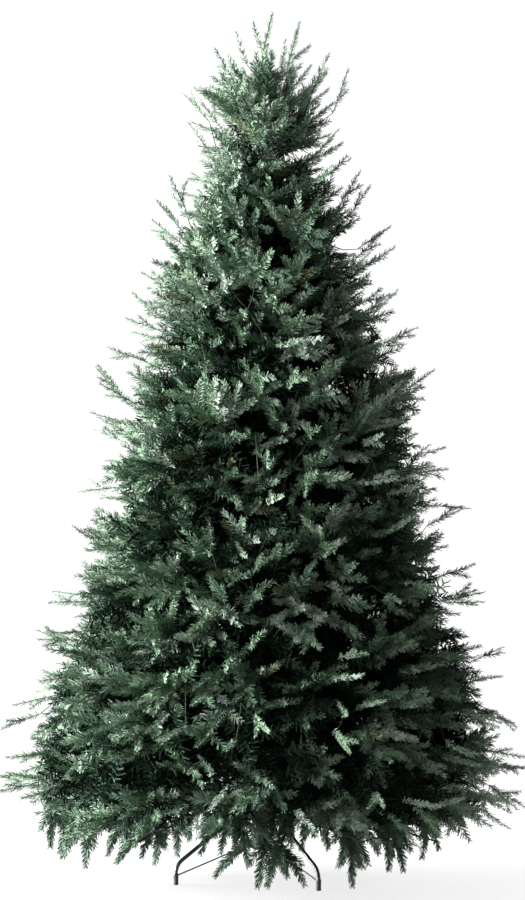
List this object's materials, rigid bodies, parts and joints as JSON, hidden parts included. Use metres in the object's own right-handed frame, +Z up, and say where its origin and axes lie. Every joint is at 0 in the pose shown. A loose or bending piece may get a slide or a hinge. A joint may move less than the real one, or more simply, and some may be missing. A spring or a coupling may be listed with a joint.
{
  "type": "artificial spruce tree",
  "caption": "Full cone-shaped artificial spruce, undecorated, on a steel pole in a folding stand with bent tubular legs and rubber feet.",
  "frame": {"origin": "on the floor, under the pole, at the middle of the crown's outline seen from above", "axes": "+Z up along the pole, -Y towards the tree's front, +X to the right of someone who looks at that front"},
  "size_m": [1.3497, 1.342, 2.28],
  "materials": {
    "needles": "matt blue-green plastic needles",
    "wrapped_wire": "brown tape wrapped round wire",
    "painted_steel": "glossy black",
    "rubber": "matt black"
  },
  "bodies": {
    "root": {"trunk": "painted_steel", "stand_hub": "painted_steel", "stand_leg_1": "painted_steel", "stand_leg_2": "painted_steel", "stand_leg_3": "painted_steel", "stand_brace_1": "painted_steel", "stand_brace_2": "painted_steel", "stand_brace_3": "painted_steel", "stand_foot_1": "rubber", "stand_foot_2": "rubber", "stand_foot_3": "rubber", "bough_a1": "wrapped_wire", "bough_a2": "wrapped_wire", "bough_a3": "wrapped_wire", "bough_a4": "wrapped_wire", "bough_a5": "wrapped_wire", "bough_a6": "wrapped_wire", "bough_b1": "wrapped_wire", "bough_b2": "wrapped_wire", "bough_b3": "wrapped_wire", "bough_b4": "wrapped_wire", "bough_b5": "wrapped_wire", "bough_b6": "wrapped_wire", "bough_c1": "wrapped_wire", "bough_c2": "wrapped_wire", "bough_c3": "wrapped_wire", "bough_c4": "wrapped_wire", "bough_c5": "wrapped_wire", "bough_d1": "wrapped_wire", "bough_d2": "wrapped_wire", "bough_d3": "wrapped_wire", "bough_d4": "wrapped_wire", "bough_d5": "wrapped_wire", "foliage_a1": "needles", "foliage_a2": "needles", "foliage_a3": "needles", "foliage_a4": "needles", "foliage_a5": "needles", "foliage_a6": "needles", "foliage_b1": "needles", "foliage_b2": "needles", "foliage_b3": "needles", "foliage_b4": "needles", "foliage_b5": "needles", "foliage_b6": "needles", "foliage_c1": "needles", "foliage_c2": "needles", "foliage_c3": "needles", "foliage_c4": "needles", "foliage_c5": "needles", "foliage_d1": "needles", "foliage_d2": "needles", "foliage_d3": "needles", "foliage_d4": "needles", "foliage_d5": "needles", "foliage_e1": "needles", "foliage_e2": "needles", "foliage_e3": "needles", "foliage_e4": "needles", "foliage_top": "needles"}
  },
  "joints": []
}
